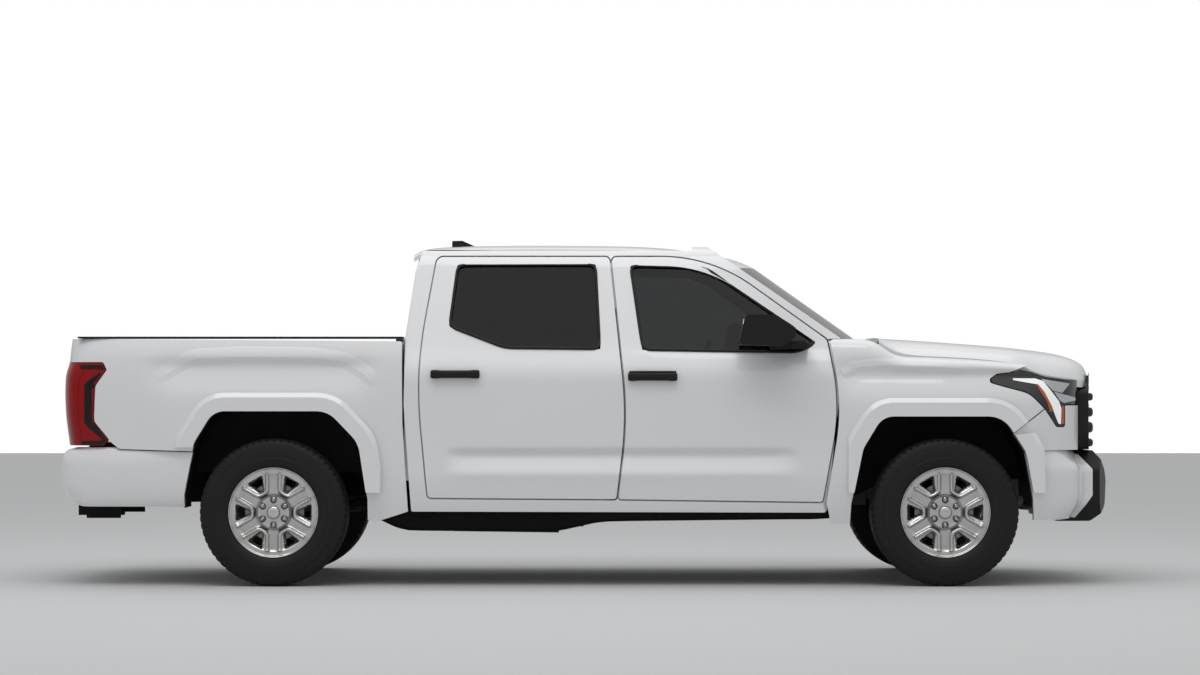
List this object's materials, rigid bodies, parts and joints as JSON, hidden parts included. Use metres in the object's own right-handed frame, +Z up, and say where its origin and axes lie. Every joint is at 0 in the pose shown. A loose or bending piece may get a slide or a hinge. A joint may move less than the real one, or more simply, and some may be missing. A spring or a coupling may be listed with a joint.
{
  "type": "crew cab pickup truck",
  "caption": "White crew cab pickup truck with a short load bed, opening doors, hood and tailgate, steered front wheels and turning road wheels.",
  "frame": {"origin": "ground level, in the middle of the truck's length and width", "axes": "+X forward, +Y to the truck's left, +Z up"},
  "size_m": [5.9307, 2.4138, 1.9494],
  "materials": {
    "paint": "gloss white",
    "paint_inside": "satin white",
    "glass": "clear, lightly tinted",
    "privacy_glass": "dark tinted",
    "black_trim": "satin black, grained",
    "tyre": "matt rubber",
    "rim_silver": "silver paint on steel",
    "cast_metal": "rough cast",
    "frame_black": "matt black wax",
    "bare_steel": "dull steel",
    "lamp_clear": "clear lens over silver and black",
    "lamp_red": "clear red lens",
    "carpet": "needle felt",
    "interior_plastic": "grained",
    "seat_fabric": "woven cloth"
  },
  "bodies": {
    "chassis": {"roof_panel": "paint", "cab_sides": "paint", "cab_back": "paint", "cab_glass": "glass", "front_fenders": "paint", "headlamps": "lamp_clear", "grille": "black_trim", "bumper_middle": "black_trim", "front_bumper": "paint", "rear_bumper": "paint", "bed_sides": "paint", "tail_lamps": "lamp_red", "bed_floor": "paint_inside", "bed_rail_caps": "black_trim", "ladder_frame": "frame_black", "hitch_receiver": "frame_black", "rear_axle": "cast_metal", "rear_suspension": "frame_black", "drive_shaft": "bare_steel", "front_suspension": "frame_black", "exhaust": "bare_steel", "fuel_tank": "black_trim", "spare_wheel": "tyre", "engine_bay": "frame_black", "engine_block": "cast_metal", "cowl": "black_trim", "cab_floor": "carpet", "dashboard": "interior_plastic", "front_seats": "seat_fabric", "rear_bench": "seat_fabric", "roof_antenna": "black_trim"},
    "front_door_right": {"front_door_right": "paint", "front_door_glass_right": "glass", "mirror_right": "black_trim"},
    "front_door_left": {"front_door_left": "paint", "front_door_glass_left": "glass", "mirror_left": "black_trim"},
    "rear_door_right": {"rear_door_right": "paint", "rear_door_glass_right": "privacy_glass"},
    "rear_door_left": {"rear_door_left": "paint", "rear_door_glass_left": "privacy_glass"},
    "hood": {"hood": "paint"},
    "tailgate": {"tailgate": "paint"},
    "steering_wheel": {"steering_wheel": "interior_plastic"},
    "knuckle_right": {"knuckle_right": "cast_metal"},
    "knuckle_left": {"knuckle_left": "cast_metal"},
    "wheel_front_right": {"tyre_front_right": "tyre", "rim_front_right": "rim_silver"},
    "wheel_front_left": {"tyre_front_left": "tyre", "rim_front_left": "rim_silver"},
    "wheel_rear_right": {"tyre_rear_right": "tyre", "rim_rear_right": "rim_silver"},
    "wheel_rear_left": {"tyre_rear_left": "tyre", "rim_rear_left": "rim_silver"}
  },
  "joints": [
    {"name": "steer_right", "type": "hinge", "parent": "chassis", "child": "knuckle_right", "pos_m": [1.9965, -0.795, 0.407], "axis": [0, 0, 1], "range_deg": [-33, 33]},
    {"name": "steer_left", "type": "hinge", "parent": "chassis", "child": "knuckle_left", "pos_m": [1.9965, 0.795, 0.407], "axis": [0, 0, 1], "range_deg": [-33, 33]},
    {"name": "spin_front_right", "type": "hinge", "parent": "knuckle_right", "child": "wheel_front_right", "pos_m": [1.9965, -0.865, 0.407], "axis": [0, 1, 0], "continuous": true},
    {"name": "spin_front_left", "type": "hinge", "parent": "knuckle_left", "child": "wheel_front_left", "pos_m": [1.9965, 0.865, 0.407], "axis": [0, 1, 0], "continuous": true},
    {"name": "spin_rear_right", "type": "hinge", "parent": "chassis", "child": "wheel_rear_right", "pos_m": [-1.7035, -0.865, 0.407], "axis": [0, 1, 0], "continuous": true},
    {"name": "spin_rear_left", "type": "hinge", "parent": "chassis", "child": "wheel_rear_left", "pos_m": [-1.7035, 0.865, 0.407], "axis": [0, 1, 0], "continuous": true},
    {"name": "steering_wheel_turn", "type": "hinge", "parent": "chassis", "child": "steering_wheel", "pos_m": [0.6645, 0.378, 1.1969], "axis": [-0.8988, 0, 0.4384], "range_deg": [-495, 495]},
    {"name": "front_door_right_hinge", "type": "hinge", "parent": "chassis", "child": "front_door_right", "pos_m": [1.3556, -0.9688, 1], "axis": [0, 0, 1], "range_deg": [0, 65]},
    {"name": "front_door_left_hinge", "type": "hinge", "parent": "chassis", "child": "front_door_left", "pos_m": [1.3556, 0.9688, 1], "axis": [0, 0, -1], "range_deg": [0, 65]},
    {"name": "rear_door_right_hinge", "type": "hinge", "parent": "chassis", "child": "rear_door_right", "pos_m": [0.1827, -0.97302, 1], "axis": [0, 0, 1], "range_deg": [0, 65]},
    {"name": "rear_door_left_hinge", "type": "hinge", "parent": "chassis", "child": "rear_door_left", "pos_m": [0.1827, 0.97302, 1], "axis": [0, 0, -1], "range_deg": [0, 65]},
    {"name": "hood_hinge", "type": "hinge", "parent": "chassis", "child": "hood", "pos_m": [1.64, 0, 1.3], "axis": [0, -1, 0], "range_deg": [0, 50]},
    {"name": "tailgate_hinge", "type": "hinge", "parent": "chassis", "child": "tailgate", "pos_m": [-2.8157, 0, 0.81185], "axis": [0, -1, 0], "range_deg": [0, 90]}
  ],
  "couplings": [
    {"joint": "steer_left", "follows": "steer_right", "ratio": 1},
    {"joint": "steering_wheel_turn", "follows": "steer_right", "ratio": 15}
  ]
}
